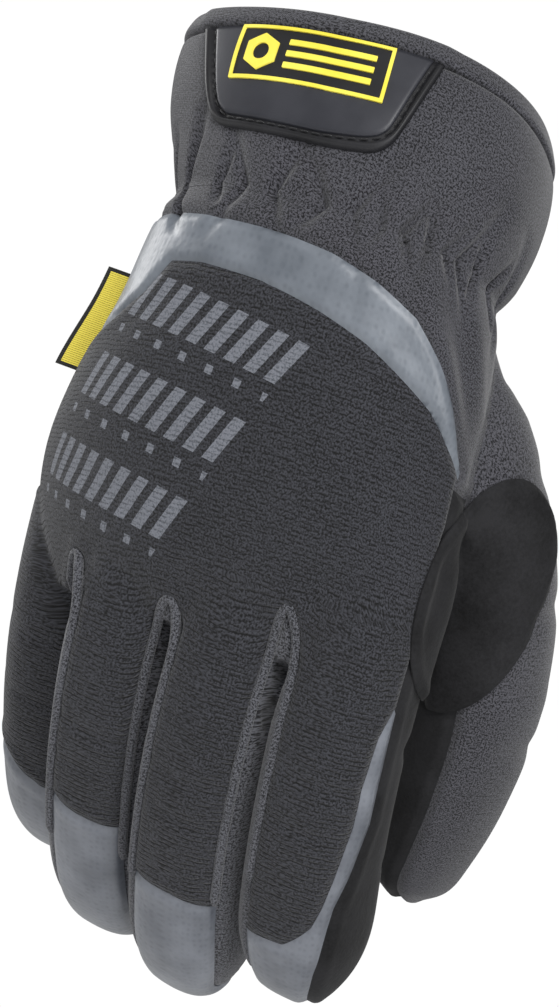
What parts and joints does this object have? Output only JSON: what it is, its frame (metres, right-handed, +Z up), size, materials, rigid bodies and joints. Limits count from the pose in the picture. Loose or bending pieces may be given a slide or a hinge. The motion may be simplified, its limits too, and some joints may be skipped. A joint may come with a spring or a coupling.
{
  "type": "mechanic glove",
  "caption": "Right-hand mechanic work glove in its worn shape: ribbed knit back, synthetic palm, capped fingertips, elastic wrist and a cuff with a rubber patch",
  "frame": {"origin": "centre of the wrist elastic, in the middle of the hollow that holds the wrist", "axes": "+Z up the forearm out of the cuff, fingers along -Z; -Y is the back of the hand, +Y the palm; +X the thumb side"},
  "size_m": [0.1276, 0.0993, 0.2192],
  "materials": {
    "stretch_fabric": "matt stretch weave",
    "hem_fabric": "matt, turned over and sewn",
    "patch_rubber": "satin moulded rubber",
    "patch_panel": "smooth satin rubber",
    "badge_yellow": "satin yellow print",
    "crescent_synthetic": "smooth embossed synthetic",
    "knit_back": "ribbed knit",
    "palm_suede": "matt synthetic suede",
    "saddle_suede": "brushed suede",
    "fourchette_fabric": "matt stretch weave",
    "fingertip_synthetic": "semi-gloss coated synthetic",
    "tag_woven": "woven label"
  },
  "bodies": {
    "root": {"fourchette_little_ring": "fourchette_fabric", "fourchette_ring_middle": "fourchette_fabric", "fourchette_middle_index": "fourchette_fabric", "tip_cap_little": "fingertip_synthetic", "tip_cap_ring": "fingertip_synthetic", "tip_cap_middle": "fingertip_synthetic", "tip_cap_index": "fingertip_synthetic", "crescent": "crescent_synthetic", "back_panel": "knit_back", "back_yoke": "stretch_fabric", "thumb_palm": "palm_suede", "palm_panel": "palm_suede", "saddle_patch": "saddle_suede", "cuff": "stretch_fabric", "cuff_hem": "hem_fabric", "patch_base": "patch_rubber", "patch_plate": "patch_panel", "patch_badge": "badge_yellow", "side_tag": "tag_woven"}
  },
  "joints": []
}
